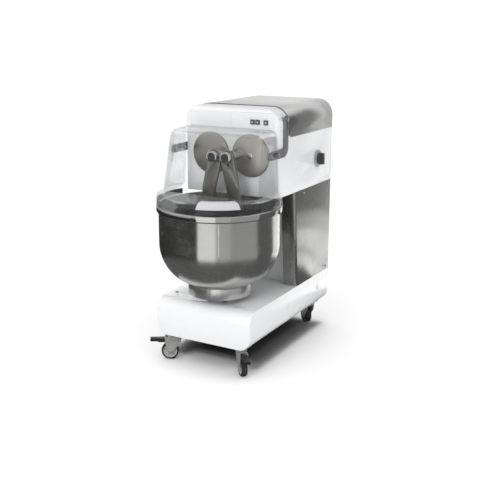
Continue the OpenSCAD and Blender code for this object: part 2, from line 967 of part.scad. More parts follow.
// cranked flat bar from the hinge down and forward to the guard's side
module bracket_outline() {
    half = bar_w / 2;
    top = hinge_z;
    back = hinge_y + half;
    front = hinge_y - half;
    low = bar_low_z - half;
    translate([hinge_y, top]) circle(half);
    translate([bar_front_y + half, bar_low_z]) circle(half);
    difference() {
        translate([bar_front_y + half, low]) square([back - bar_front_y - half, top - low]);
        plate(bar_front_y, front, bar_low_z + half, top + bar_w, br = 8);
        translate([back, low]) mirror([1, 0]) corner_cut(bar_bend_r);
    }
}

module guard_brackets() {
    color("dimgray") both_sides() difference() {
        along_x(bar_x, bar_x + bar_t) bracket_outline();
        rod_x(hinge_y, hinge_z, bar_x - 1, bar_x + bar_t + 1, pivot_r + fit_gap);
        for (y = rivet_y)
            rod_x(y, bar_low_z, bar_x - 1, bar_x + bar_t + 1, rivet_r + fit_gap);
    }
}

// rivets with a spacer between the bracket and the guard's wall
module guard_rivets() {
    outer = bar_x + bar_t;
    color("silver") both_sides()
        for (y = rivet_y) {
            rod_x(y, bar_low_z, half_w - 10, outer + 3, rivet_r);
            rod_x(y, bar_low_z, outer, outer + 3, rivet_r + 3);
        }
}

// hinge pins: a head outside, a collar behind the bracket, a nut inside the head
module guard_pivots() {
    outer = bar_x + bar_t + 0.5;
    color("silver") both_sides() {
        rod_x(hinge_y, hinge_z, half_w - 20, outer, pivot_r);
        rod_x(hinge_y, hinge_z, outer, outer + 4, 11);
        rod_x(hinge_y, hinge_z, half_w - 1, bar_x - 0.2, 10);
        rod_x(hinge_y, hinge_z, half_w - 20, half_w - 14, 11);
    }
}

// ---- castors ----

// places a castor part: its own frame has the swivel axis at the origin and
// the wheel trailing along +X
module at_castor(place) {
    translate([place[0], place[1], 0]) rotate([0, 0, place[2]]) children();
}

module castor_plates() {
    plate_half = 36;
    race_r = 25;
    color("silver")
        for (c = [front_left, front_right, rear_left, rear_right])
            translate([c[0], c[1], 0]) union() {
                slab(-plate_half, plate_half, -plate_half, plate_half, castor_h - plate_t, castor_h);
                translate([0, 0, castor_h - plate_t - 6]) cylinder(h = 7, r = race_r);
                translate([0, 0, castor_h - plate_t - 24]) cylinder(h = 25, r = king_r);
            }
}

// swivelling crown, two legs and the axle
module castor_fork(place, pedal) {
    crown_low = crown_top - crown_h;
    color("silver") at_castor(place) {
        difference() {
            union() {
                translate([0, 0, crown_low]) cylinder(h = crown_h, r = 27);
                slab(0, castor_trail + 8, -leg_y - leg_t, leg_y + leg_t, crown_low, crown_low + 4);
                for (side = [-1, 1])
                    translate([0, side > 0 ? leg_y : -leg_y - leg_t, 0])
                        along_y(0, leg_t) fork_leg(crown_low);
            }
            translate([0, 0, crown_low - 1]) cylinder(h = crown_h + 2, r = king_r + fit_gap);
        }
        rod_y(castor_trail, wheel_r, -leg_y - leg_t - 3, leg_y + leg_t + 3, axle_r);
        if (pedal)
            rod_y(pedal_x, pedal_z, -leg_y - 0.5, leg_y + 0.5, pedal_pin_r);
    }
}

// a leg's outline in its own X and Z
module fork_leg(top) {
    translate([castor_trail, wheel_r]) circle(13);
    polygon([
        [-16, 84], [castor_trail - 12.6, wheel_r - 3], [castor_trail + 12.6, wheel_r + 3],
        [castor_trail + 22, 84], [castor_trail + 24, top + 2], [-20, top + 2]
    ]);
}

module castor_wheel(place) {
    half = wheel_w / 2;
    color("black") at_castor(place) translate([castor_trail, 0, wheel_r]) rotate([90, 0, 0])
        rotate_extrude() difference() {
            translate([0, -half]) plate(0, wheel_r, 0, wheel_w, br = 5, tr = 5);
            translate([0, -half - 1]) square([axle_r + fit_gap, wheel_w + 2]);
            for (side = [0, 1])
                mirror([0, side]) translate([11, half - 4]) square([17, 5]);
        }
}

// pedal that turns on the pin between the legs
module brake_pedal(place) {
    arm_half = leg_y - 1;
    end_x = pedal_x + pedal_len;
    color("black") at_castor(place) difference() {
        union() {
            rod_y(pedal_x, pedal_z, -arm_half, arm_half, 7);
            slab(pedal_x, end_x - 36, -arm_half, arm_half, pedal_z - 10, pedal_z + 8);
            slab(end_x - 46, end_x, -13, 13, pedal_z - 6, pedal_z + 8);
        }
        rod_y(pedal_x, pedal_z, -leg_y, leg_y, pedal_pin_r + fit_gap);
    }
}

module front_left_fork() {
    castor_fork(front_left, true);
}

module front_right_fork() {
    castor_fork(front_right, true);
}

module rear_left_fork() {
    castor_fork(rear_left, false);
}

module rear_right_fork() {
    castor_fork(rear_right, false);
}

module front_left_wheel() {
    castor_wheel(front_left);
}

module front_right_wheel() {
    castor_wheel(front_right);
}

module rear_left_wheel() {
    castor_wheel(rear_left);
}

module rear_right_wheel() {
    castor_wheel(rear_right);
}

module left_brake_pedal() {
    brake_pedal(front_left);
}

module right_brake_pedal() {
    brake_pedal(front_right);
}

base_shell();
chassis_frame();
column_front_panel();
right_side_cover();
left_side_cover();
rear_cover();
head_shell();
top_cover();
control_panel();
control_box();
knob_plate();
cover_screws();
hole_plugs();
cable_gland();
gearmotor();
arm_belt();
bowl_belt();
gearbox_case();
crank_bearings();
bowl_reducer();
bowl_bearing();
castor_plates();
guard_pivots();
start_button();
stop_button();
speed_button();
selector_knob();
motor_pulley();
left_crank_shaft();
right_crank_shaft();
left_crank_gear();
right_crank_gear();
crank_pulley();
left_crank_disc();
right_crank_disc();
left_crank_pin();
right_crank_pin();
left_arm_hub();
right_arm_hub();
left_arm();
right_arm();
bowl();
bowl_foot();
bowl_spindle();
worm_shaft();
guard_shield();
guard_brackets();
guard_rivets();
guard_seal();
front_left_fork();
front_right_fork();
rear_left_fork();
rear_right_fork();
front_left_wheel();
front_right_wheel();
rear_left_wheel();
rear_right_wheel();
left_brake_pedal();
right_brake_pedal();
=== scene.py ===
"""Twin-arm dough mixer: materials, fine detail, floor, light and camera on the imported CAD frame.

Lengths are metres, in the CAD's frame: +Z up, the front towards -Y.
"""

import json
import math

import bpy
from mathutils import Matrix, Vector


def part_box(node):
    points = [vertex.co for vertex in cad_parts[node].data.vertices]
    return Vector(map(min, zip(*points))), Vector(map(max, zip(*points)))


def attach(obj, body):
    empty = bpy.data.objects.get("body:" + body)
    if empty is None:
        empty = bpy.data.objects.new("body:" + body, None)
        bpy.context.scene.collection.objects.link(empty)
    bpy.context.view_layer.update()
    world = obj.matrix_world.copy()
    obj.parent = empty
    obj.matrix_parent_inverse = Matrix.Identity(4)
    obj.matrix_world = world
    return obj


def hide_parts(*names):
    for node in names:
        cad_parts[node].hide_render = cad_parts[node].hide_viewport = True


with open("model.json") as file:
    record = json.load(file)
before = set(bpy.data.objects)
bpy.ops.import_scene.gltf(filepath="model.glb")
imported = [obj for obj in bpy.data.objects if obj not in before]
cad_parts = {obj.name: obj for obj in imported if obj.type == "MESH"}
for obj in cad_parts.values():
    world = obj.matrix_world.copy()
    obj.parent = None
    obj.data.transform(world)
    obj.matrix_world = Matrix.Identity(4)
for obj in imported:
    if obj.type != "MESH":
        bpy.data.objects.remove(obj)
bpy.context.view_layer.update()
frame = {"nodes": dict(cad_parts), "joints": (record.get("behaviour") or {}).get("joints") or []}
nodes = frame["nodes"]
joint = {j["name"]: j for j in frame["joints"]}

MM = 0.001
TURN = 2 * math.pi
WHEEL_HALF = 14 * MM  # half the width of a castor wheel
BAND_REACH = 9 * MM  # how far the bowl's rim band stands out from its wall
CASTORS = ("front_left", "front_right", "rear_left", "rear_right")
SIDES = ("left", "right")
BUTTONS = ("start_button", "stop_button", "speed_button")


# ---- colour and node helpers ----


def srgb(r, g=None, b=None):
    """A linear colour from display values between 0 and 255."""
    values = (r, r if g is None else g, r if b is None else b)
    linear = [((v / 255 + 0.055) / 1.055) ** 2.4 if v > 10 else v / 255 / 12.92 for v in values]
    return (*linear, 1.0)


class Graph:
    """One material's nodes, with short calls to add and to link them."""

    def __init__(self, name):
        self.material = bpy.data.materials.new(name)
        self.material.use_nodes = True
        self.tree = self.material.node_tree
        self.shader = self.tree.nodes["Principled BSDF"]
        self.output = self.tree.nodes["Material Output"]
        self.place = self.add("ShaderNodeTexCoord").outputs["Object"]

    def add(self, kind, **properties):
        made = self.tree.nodes.new(kind)
        for key, value in properties.items():
            setattr(made, key, value)
        return made

    def put(self, node, **inputs):
        """Sets or links inputs. An underscore in a keyword stands for a space in the socket's name."""
        for key, value in inputs.items():
            socket = node.inputs[key.replace("_", " ")]
            if isinstance(value, bpy.types.NodeSocket):
                self.tree.links.new(value, socket)
            else:
                socket.default_value = value
        return node

    def stretched(self, scale, turn=(0, 0, 0), source=None):
        mapping = self.add("ShaderNodeMapping")
        self.put(mapping, Vector=source or self.place, Scale=scale, Rotation=turn)
        return mapping.outputs["Vector"]

    def noise(self, vector, scale=1.0, detail=3.0, rough=0.5):
        made = self.add("ShaderNodeTexNoise")
        self.put(made, Vector=vector, Scale=scale, Detail=detail, Roughness=rough)
        return made.outputs["Fac"]

    def remap(self, value, low, high, from_low=0.3, from_high=0.7):
        made = self.add("ShaderNodeMapRange")
        self.put(made, Value=value, From_Min=from_low, From_Max=from_high, To_Min=low, To_Max=high)
        return made.outputs["Result"]

    def maths(self, operation, a, b=0.0):
        made = self.add("ShaderNodeMath", operation=operation)
        for socket, value in zip(made.inputs, (a, b)):
            if isinstance(value, bpy.types.NodeSocket):
                self.tree.links.new(value, socket)
            else:
                socket.default_value = value
        return made.outputs["Value"]

    def mix(self, share, first, second):
        made = self.add("ShaderNodeMix", data_type="RGBA")
        for socket, value in zip((made.inputs[0], made.inputs[6], made.inputs[7]), (share, first, second)):
            if isinstance(value, bpy.types.NodeSocket):
                self.tree.links.new(value, socket)
            else:
                socket.default_value = value
        return made.outputs[2]

    def bump(self, height, depth, after=None):
        """A normal from a height between 0 and 1 and the depth in metres that it stands for."""
        made = self.add("ShaderNodeBump")
        self.put(made, Height=height, Strength=1.0, Distance=depth)
        if after is not None:
            self.put(made, Normal=after)
        return made.outputs["Normal"]

    def across(self, grain):
        """The tangent that stretches highlights across a grain given in the object's axes."""
        world = self.add("ShaderNodeVectorTransform", vector_type="VECTOR", convert_from="OBJECT",
                         convert_to="WORLD")
        self.put(world, Vector=grain)
        cross = self.add("ShaderNodeVectorMath", operation="CROSS_PRODUCT")
        self.tree.links.new(self.add("ShaderNodeNewGeometry").outputs["Normal"], cross.inputs[0])
        self.tree.links.new(world.outputs["Vector"], cross.inputs[1])
        unit = self.add("ShaderNodeVectorMath", operation="NORMALIZE")
        self.tree.links.new(cross.outputs["Vector"], unit.inputs[0])
        return unit.outputs["Vector"]

    def height_above_floor(self):
        split = self.add("ShaderNodeSeparateXYZ")
        self.put(split, Vector=self.place)
        return split.outputs["Z"]

    def done(self, **inputs):
        self.put(self.shader, **inputs)
        return self.material


# ---- materials ----


def painted(name, colour, roughness=0.3, coat=0.35, grime=0.0):
    """Powder coat: fine orange peel, slow variation of gloss, and grime that thickens towards the floor."""
    g = Graph(name)
    peel = g.noise(g.place, 900, 2)
    cloud = g.noise(g.place, 7, 4, 0.6)
    base = g.mix(g.remap(cloud, 0.0, 0.5), colour, tuple(c * 0.965 for c in colour[:3]) + (1.0,))
    if grime:
        low = g.remap(g.height_above_floor(), grime, 0.0, 0.12, 0.2)
        speck = g.remap(g.noise(g.place, 60, 5, 0.7), 0.0, 1.0, 0.5, 0.8)
        base = g.mix(g.maths("MULTIPLY", low, speck), base, srgb(120, 116, 108))
    return g.done(
        Base_Color=base, Roughness=g.remap(cloud, roughness - 0.05, roughness + 0.08), Coat_Weight=coat,
        Coat_Roughness=0.12, Normal=g.bump(peel, 12e-6))


def brushed(name, colour, axis, roughness=0.3, anisotropic=0.6, contrast=0.10, smudge=0.05):
    """Ground sheet steel: fine lines along one axis, which blur reflections across themselves."""
    g = Graph(name)
    grain = tuple(7 if letter == axis else 900 for letter in "XYZ")
    fine = g.noise(g.stretched(grain), 1.0, 2, 0.6)
    broad = g.noise(g.stretched(tuple(0.16 * s for s in grain)), 1.0, 2, 0.5)
    cloud = g.noise(g.place, 6, 4, 0.6)
    dark = tuple(c * (1 - 2.2 * contrast) for c in colour[:3]) + (1.0,)
    lines = g.maths("ADD", g.maths("MULTIPLY", fine, 0.6), g.maths("MULTIPLY", broad, 0.4))
    blotch = g.remap(cloud, -smudge, smudge)
    rough = g.maths("ADD", g.remap(lines, roughness - 0.06, roughness + 0.06), blotch)
    along = tuple(1.0 if letter == axis else 0.0 for letter in "XYZ")
    return g.done(
        Base_Color=g.mix(g.remap(lines, 1.0, 0.0), colour, dark), Metallic=1.0, Roughness=rough,
        Anisotropic=anisotropic, Tangent=g.across(along), Normal=g.bump(fine, 6e-6))


def turned(name, colour, centre, axis, roughness=0.25, pitch=2600, contrast=0.08, along=0.0, anisotropic=0.5,
           polished_above=None):
    """Turned or spun metal: rings round the axis through centre; along adds lines that step down the axis."""
    g = Graph(name)
    direction = tuple(1.0 if letter == axis else 0.0 for letter in "XYZ")
    offset = g.add("ShaderNodeVectorMath", operation="SUBTRACT")
    g.put(offset, Vector=g.place)
    offset.inputs[1].default_value = centre
    grain = g.add("ShaderNodeVectorMath", operation="CROSS_PRODUCT")
    grain.inputs[0].default_value = direction
    g.tree.links.new(offset.outputs["Vector"], grain.inputs[1])
    radius = g.add("ShaderNodeVectorMath", operation="LENGTH")
    g.tree.links.new(grain.outputs["Vector"], radius.inputs[0])
    split = g.add("ShaderNodeSeparateXYZ")
    g.put(split, Vector=offset.outputs["Vector"])
    rings = g.add("ShaderNodeCombineXYZ")
    g.put(rings, X=g.maths("MULTIPLY", radius.outputs["Value"], pitch),
          Y=g.maths("MULTIPLY", split.outputs[axis], along or pitch * 0.5))
    line = g.noise(rings.outputs["Vector"], 1.0, 2, 0.7)
    cloud = g.noise(g.place, 14, 4, 0.6)
    dark = tuple(c * (1 - 2.4 * contrast) for c in colour[:3]) + (1.0,)
    rough = g.maths("ADD", g.remap(line, roughness - 0.05, roughness + 0.05), g.remap(cloud, -0.04, 0.05))
    if polished_above:
        smooth = g.remap(g.height_above_floor(), 0.0, 0.6 * roughness, polished_above, polished_above + 0.002)
        rough = g.maths("SUBTRACT", rough, smooth)
    return g.done(
        Base_Color=g.mix(g.remap(line, 1.0, 0.0), colour, dark), Metallic=1.0, Roughness=rough,
        Anisotropic=anisotropic, Tangent=g.across(grain.outputs["Vector"]), Normal=g.bump(line, 5e-6))


def polished(name, colour, roughness=0.12):
    """Polished steel with faint wipe marks and tiny scratches."""
    g = Graph(name)
    wipe = g.noise(g.place, 40, 5, 0.7)
    scratch = g.noise(g.stretched((160, 1900, 420), (0.4, 0.2, 0.9)), 1.0, 2, 0.6)
    return g.done(
        Base_Color=g.mix(g.remap(wipe, 0.0, 0.35), colour, tuple(c * 0.9 for c in colour[:3]) + (1.0,)),
        Metallic=1.0, Roughness=g.remap(wipe, roughness - 0.04, roughness + 0.08),
        Normal=g.bump(scratch, 3e-6))


def satin(name, colour, roughness=0.36):
    """Blasted and ground steel of the arms and discs: a short random grain, with worn brighter patches."""
    g = Graph(name)
    grain = g.noise(g.place, 1300, 3, 0.65)
    patch = g.noise(g.place, 22, 5, 0.62)
    bright = tuple(min(1.0, c * 1.25) for c in colour[:3]) + (1.0,)
    return g.done(
        Base_Color=g.mix(g.remap(patch, 0.0, 1.0, 0.45, 0.75), colour, bright), Metallic=1.0,
        Roughness=g.remap(patch, roughness + 0.06, roughness - 0.08), Normal=g.bump(grain, 14e-6))


def zinc(name):
    """Zinc plate: crystalline patches with a faint blue and straw cast."""
    g = Graph(name)
    cells = g.add("ShaderNodeTexVoronoi", feature="F1")
    g.put(cells, Vector=g.place, Scale=420.0)
    cast = g.mix(g.remap(g.noise(g.place, 55, 4), 0.0, 1.0), srgb(214, 217, 221), srgb(218, 214, 202))
    shade = g.mix(g.remap(cells.outputs["Distance"], 0.0, 0.3, 0.0, 0.8), cast, srgb(184, 186, 190))
    return g.done(
        Base_Color=shade, Metallic=0.8, Roughness=g.remap(g.noise(g.place, 90, 4), 0.3, 0.48),
        Normal=g.bump(g.noise(g.place, 1500, 2), 8e-6))


def cast_metal(name, colour, roughness=0.5, metallic=1.0):
    """Sand cast surface, coarse enough to see from near by."""
    g = Graph(name)
    coarse = g.noise(g.place, 380, 5, 0.65)
    stain = g.noise(g.place, 18, 4, 0.6)
    return g.done(
        Base_Color=g.mix(g.remap(stain, 0.0, 0.7), colour, tuple(c * 0.72 for c in colour[:3]) + (1.0,)),
        Metallic=metallic, Roughness=g.remap(coarse, roughness - 0.08, roughness + 0.12),
        Normal=g.bump(coarse, 90e-6))


def moulded(name, colour, roughness=0.45, grain=1400, depth=18e-6, tone=0.12):
    """Moulded plastic with a fine spark-eroded grain and slightly rubbed tones."""
    g = Graph(name)
    skin = g.noise(g.place, grain, 2, 0.5)
    rub = g.noise(g.place, 45, 4, 0.6)
    lighter = tuple(min(1.0, c + tone * 0.25) for c in colour[:3]) + (1.0,)
    return g.done(
        Base_Color=g.mix(g.remap(rub, 0.0, 0.6), colour, lighter),
        Roughness=g.remap(rub, roughness + 0.05, roughness - 0.07), Specular_IOR_Level=0.45,
        Normal=g.bump(skin, depth))


def rubber(name, colour, roughness=0.62, dust=0.35):
    """Rubber with a matt skin and pale dust in its pores."""
    g = Graph(name)
    pores = g.noise(g.place, 700, 4, 0.7)
    dusty = g.remap(g.noise(g.place, 70, 5, 0.7), 0.0, dust, 0.45, 0.75)
    return g.done(
        Base_Color=g.mix(dusty, colour, srgb(122, 118, 110)),
        Roughness=g.remap(pores, roughness, roughness + 0.2), Specular_IOR_Level=0.35,
        Normal=g.bump(pores, 40e-6))


def clear_plastic(name):
    """Clear polycarbonate sheet: nearly all light passes, grazing edges gather light, and it is glossy."""
    g = Graph(name)
    haze = g.noise(g.place, 26, 4, 0.6)
    facing = g.put(g.add("ShaderNodeLayerWeight"), Blend=0.3)
    clear = g.put(g.add("ShaderNodeBsdfTransparent"), Color=(0.966, 0.97, 0.972, 1.0))
    edge = g.put(g.add("ShaderNodeBsdfDiffuse"), Color=(0.5, 0.51, 0.52, 1.0))
    gloss = g.put(g.add("ShaderNodeBsdfGlossy"), Color=(1, 1, 1, 1), Roughness=g.remap(haze, 0.03, 0.08))
    body = g.put(g.add("ShaderNodeMixShader"), Fac=g.remap(facing.outputs["Facing"], 0.01, 0.6, 0.66, 1.0))
    g.tree.links.new(clear.outputs[0], body.inputs[1])
    g.tree.links.new(edge.outputs[0], body.inputs[2])
    fresnel = g.put(g.add("ShaderNodeFresnel"), IOR=1.45)
    surface = g.put(g.add("ShaderNodeMixShader"), Fac=g.maths("MULTIPLY", fresnel.outputs["Fac"], 0.4))
    g.tree.links.new(body.outputs[0], surface.inputs[1])
    g.tree.links.new(gloss.outputs[0], surface.inputs[2])
    g.tree.links.new(surface.outputs[0], g.output.inputs["Surface"])
    return g.material


def frosted(name):
    """Pale translucent field on the guard."""
    g = Graph(name)
    speck = g.noise(g.place, 900, 3)
    return g.done(Base_Color=srgb(214, 216, 218), Roughness=g.remap(speck, 0.4, 0.6), Alpha=0.7,
                  Normal=g.bump(speck, 15e-6))


def plug_plastic(name, dark_z):
    """Plastic plugs: black ones at one height, white ones elsewhere."""
    g = Graph(name)
    skin = g.noise(g.place, 1200, 2)
    dark = g.add("ShaderNodeMath", operation="COMPARE")
    g.tree.links.new(g.height_above_floor(), dark.inputs[0])
    dark.inputs[1].default_value = dark_z
    dark.inputs[2].default_value = 0.012
    return g.done(Base_Color=g.mix(dark.outputs["Value"], srgb(222, 222, 220), srgb(30, 30, 31)),
                  Roughness=g.remap(skin, 0.28, 0.4), Normal=g.bump(skin, 12e-6))


def floor_material():
    g = Graph("pale_floor")
    cloud = g.noise(g.place, 1.5, 3)
    return g.done(Base_Color=g.mix(g.remap(cloud, 0.0, 0.4), srgb(241, 241, 241), srgb(238, 238, 238)),
                  Roughness=0.9, Specular_IOR_Level=0.0)


def middle(node):
    """The centre of a node's box."""
    lo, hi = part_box(node)
    return (lo + hi) / 2


bowl_axis = Vector(joint["bowl_turn"]["pos_m"])
disc_centre = {side: middle(side + "_crank_disc") for side in SIDES}

white_paint = painted("white_paint", srgb(223, 224, 225), grime=0.06)
side_steel = brushed("brushed_side_steel", srgb(190, 190, 188), "Z", 0.3, 0.7)
cover_steel = brushed("brushed_cover_steel", srgb(198, 198, 197), "Y", 0.28, 0.55, 0.07)
bowl_steel = turned("spun_bowl_steel", srgb(200, 200, 198), bowl_axis, "Z", 0.22, 1800, 0.05, 2400, 0.7,
                    polished_above=0.703)
seam_steel = satin("welded_seam_steel", srgb(206, 206, 204), 0.3)
arm_steel = satin("satin_arm_steel", srgb(136, 134, 129), 0.34)
# the two crank discs are alike: the left one's darker colour is painted shade, the right one's lighter colour
# is painted light
DISC_COLOUR_PAINTED_LIGHT = {"left": srgb(194, 190, 180), "right": srgb(222, 217, 207)}
disc_steel = {}
for side in SIDES:
    disc_steel[side] = turned(
        side + "_disc_steel_painted_light", DISC_COLOUR_PAINTED_LIGHT[side], disc_centre[side], "Y", 0.4, 1500, 0.08, anisotropic=0.15)
bright_steel = polished("polished_steel", srgb(214, 214, 214), 0.11)
rivet_steel = satin("domed_rivet_steel", srgb(232, 232, 230), 0.42)
# the foot's steel is lighter than the bowl's: painted light that brightens the foot
foot_steel_painted_light = turned("turned_foot_steel", srgb(226, 226, 224), bowl_axis, "Z", 0.34, 1800, 0.05, 2400, 0.4)
shaft_steel = turned("turned_shaft_steel", srgb(186, 186, 186), (0, 0, 0), "Y", 0.3, 800, 0.06)
spindle_steel = turned("turned_spindle_steel", srgb(186, 186, 186), bowl_axis, "Z", 0.3, 800, 0.06)
gear_steel = satin("hobbed_gear_steel", srgb(128, 128, 130), 0.4)
frame_paint = painted("dark_frame_paint", srgb(62, 64, 66), 0.5, 0.0)
bracket_paint = painted("grey_bracket_paint", srgb(104, 104, 106), 0.33, 0.15)
alloy = cast_metal("cast_alloy", srgb(168, 170, 172), 0.45)
motor_paint = cast_metal("motor_enamel", srgb(88, 98, 112), 0.42, 0.0)
zinc_plate = zinc("zinc_plate")
black_rubber = rubber("black_rubber", srgb(22, 22, 23), 0.55, 0.06)
tyre_rubber = rubber("tyre_rubber", srgb(34, 34, 36), 0.6, 0.3)
rim_plastic = moulded("grey_rim_plastic", srgb(176, 178, 182), 0.42)
black_plastic = moulded("black_plastic", srgb(24, 24, 26), 0.42, tone=0.05)
selector_plastic = moulded("selector_plastic", srgb(52, 53, 55), 0.4, tone=0.08)
grey_plastic = moulded("grey_plastic", srgb(150, 152, 152), 0.45)
film = moulded("panel_film", srgb(214, 216, 217), 0.25, 2200, 6e-6)
button_plastic = moulded("button_plastic", srgb(58, 66, 62), 0.4, tone=0.08)
window_plastic = moulded("button_window", srgb(170, 176, 170), 0.25)
white_plastic = moulded("white_plastic", srgb(222, 222, 220), 0.3)
ink_grey = moulded("print_grey", srgb(150, 154, 156), 0.4)
plugs = plug_plastic("plug_plastic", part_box("base_shell")[1].z)
guard_plastic = clear_plastic("clear_polycarbonate")
guard_field = frosted("frosted_field")

FINISH = {
    "base_shell": white_paint, "column_front_panel": white_paint, "head_shell": white_paint,
    "bowl_bearing": white_paint, "right_side_cover": side_steel, "left_side_cover": side_steel,
    "rear_cover": side_steel, "top_cover": cover_steel, "bowl": bowl_steel, "bowl_foot": foot_steel_painted_light,
    "left_arm": arm_steel, "right_arm": arm_steel, "left_crank_disc": disc_steel["left"],
    "right_crank_disc": disc_steel["right"], "left_crank_pin": bright_steel, "right_crank_pin": bright_steel,
    "left_arm_hub": bright_steel, "right_arm_hub": bright_steel, "guard_rivets": rivet_steel,
    "guard_pivots": bright_steel, "cover_screws": bright_steel, "left_crank_shaft": shaft_steel,
    "right_crank_shaft": shaft_steel, "worm_shaft": shaft_steel, "bowl_spindle": spindle_steel,
    "crank_bearings": bright_steel, "left_crank_gear": gear_steel, "right_crank_gear": gear_steel,
    "chassis_frame": frame_paint, "guard_brackets": bracket_paint, "gearbox_case": alloy,
    "bowl_reducer": alloy, "motor_pulley": alloy, "crank_pulley": alloy, "gearmotor": motor_paint,
    "castor_plates": zinc_plate, "guard_seal": black_rubber, "arm_belt": black_rubber,
    "bowl_belt": black_rubber, "guard_shield": guard_plastic, "selector_knob": selector_plastic,
    "left_brake_pedal": black_plastic, "right_brake_pedal": black_plastic, "cable_gland": black_plastic,
    "knob_plate": grey_plastic, "control_box": grey_plastic, "control_panel": film,
    "start_button": button_plastic, "stop_button": button_plastic, "speed_button": button_plastic,
    "hole_plugs": plugs,
}
for castor in CASTORS:
    FINISH[castor + "_fork"] = zinc_plate
    FINISH[castor + "_wheel"] = tyre_rubber

# width in millimetres of the rounded edge that each visible CAD node gets
EDGE = {
    "base_shell": 1.2, "column_front_panel": 0.6, "right_side_cover": 0.5, "left_side_cover": 0.5,
    "rear_cover": 0.4, "head_shell": 1.0, "top_cover": 0.5, "control_panel": 0.4, "knob_plate": 1.2,
    "cover_screws": 0.8, "hole_plugs": 0.8, "cable_gland": 0.8, "start_button": 0.8, "stop_button": 0.8,
    "speed_button": 0.8, "selector_knob": 1.6, "left_crank_disc": 1.0, "right_crank_disc": 1.0,
    "left_crank_pin": 0.8, "right_crank_pin": 0.8, "left_arm_hub": 1.6, "right_arm_hub": 1.6,
    "left_arm": 2.0, "right_arm": 2.0, "bowl_foot": 0.6, "bowl_bearing": 1.2, "guard_shield": 1.2,
    "guard_brackets": 1.2, "guard_rivets": 0.8, "guard_pivots": 0.8, "guard_seal": 0.8,
    "castor_plates": 0.8, "left_brake_pedal": 2.0, "right_brake_pedal": 2.0, "gearmotor": 2.0,
    "gearbox_case": 1.5, "bowl_reducer": 2.0, "chassis_frame": 1.5, "control_box": 1.5,
    "motor_pulley": 0.6, "crank_pulley": 0.8,
}
for castor in CASTORS:
    EDGE[castor + "_fork"] = 0.6


# ---- mesh helpers ----


def shade(obj, angle=34):
    """Smooth shading that breaks at edges sharper than angle."""
    obj.data.polygons.foreach_set("use_smooth", [True] * len(obj.data.polygons))
    obj.data.set_sharp_from_angle(angle=math.radians(angle))


def round_edges(obj, width, segments=2, angle=40):
    bevel = obj.modifiers.new("round_edges", "BEVEL")
    bevel.width = width
    bevel.segments = segments
    bevel.limit_method = "ANGLE"
    bevel.angle_limit = math.radians(angle)
    bevel.harden_normals = True
    return bevel


def soften(node):
    """Gives a CAD node merged corners, rounded edges and smooth shading; its own vertices stay."""
    obj = nodes[node]
    weld = obj.modifiers.new("weld", "WELD")
    weld.merge_threshold = 0.01 * MM
    round_edges(obj, EDGE[node] * MM)
    shade(obj)


def assign(obj, material):
    obj.data.materials.clear()
    obj.data.materials.append(material)


def piece(name, verts, faces, body, material, edge=0.0, angle=34):
    """A new mesh piece in the row frame that rides on a CAD body."""
    mesh = bpy.data.meshes.new(name)
    mesh.from_pydata([tuple(v) for v in verts], [], faces)
    mesh.update()
    obj = bpy.data.objects.new(name, mesh)
    bpy.context.scene.collection.objects.link(obj)
    assign(obj, material)
    shade(obj, angle)
    if edge:
        round_edges(obj, edge * MM)
    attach(obj, body)
    return obj


def axes_for(direction):
    """A frame whose third axis is direction."""
    z = Vector(direction).normalized()
    x = Vector((0, 0, 1)).cross(z)
    x = Vector((1, 0, 0)) if x.length < 1e-6 else x.normalized()
    return Matrix((x, z.cross(x), z)).transposed()


def lathe(profile, origin, direction, steps=64, closed=False):
    """Vertices and faces of a profile of (radius, height) pairs turned round a direction through origin."""
    turn = axes_for(direction)
    origin = Vector(origin)
    verts, rows = [], []
    for r, h in profile:
        if r < 1e-9:
            rows.append([len(verts)] * steps)
            verts.append(origin + turn @ Vector((0, 0, h)))
            continue
        rows.append(list(range(len(verts), len(verts) + steps)))
        for k in range(steps):
            a = TURN * k / steps
            verts.append(origin + turn @ Vector((r * math.cos(a), r * math.sin(a), h)))
    pairs = list(zip(rows, rows[1:] + (rows[:1] if closed else [])))
    if not closed:
        pairs = pairs[: len(rows) - 1]
    faces = []
    for low, high in pairs:
        for k in range(steps):
            n = (k + 1) % steps
            face = [low[k], low[n], high[n], high[k]]
            face = [v for i, v in enumerate(face) if v != face[i - 1]]
            if len(face) > 2:
                faces.append(face)
    return verts, faces


def arc(cx, cy, r, start, stop, steps=6):
    """Points of an arc, angles in degrees."""
    return [
        (cx + r * math.cos(math.radians(start + (stop - start) * k / steps)),
         cy + r * math.sin(math.radians(start + (stop - start) * k / steps)))
        for k in range(steps + 1)
    ]


def hexagon(r):
    """A bolt head's outline, r from the middle to a corner."""
    return arc(0, 0, r, 0, 300, 5)


def rounded_box_outline(w, h, r, steps=5):
    """A rectangle of w by h round the origin with corner radius r, anticlockwise."""
    x, y = w / 2 - r, h / 2 - r
    return (arc(x, -y, r, -90, 0, steps) + arc(x, y, r, 0, 90, steps)
            + arc(-x, y, r, 90, 180, steps) + arc(-x, -y, r, 180, 270, steps))


def extrude(outline, origin, direction, low, high):
    """Vertices and faces of a flat outline pushed out along a direction, from low to high."""
    turn = axes_for(direction)
    origin = Vector(origin)
    n = len(outline)
    verts = [origin + turn @ Vector((x, y, h)) for h in (low, high) for x, y in outline]
    faces = [list(range(n))[::-1], list(range(n, 2 * n))]
    faces += [[k, (k + 1) % n, n + (k + 1) % n, n + k] for k in range(n)]
    return verts, faces


def joined(*parts):
    """One vertex and face list out of several."""
    verts, faces = [], []
    for v, f in parts:
        faces += [[i + len(verts) for i in face] for face in f]
        verts += v
    return verts, faces


# ---- pieces that replace or add to CAD nodes ----


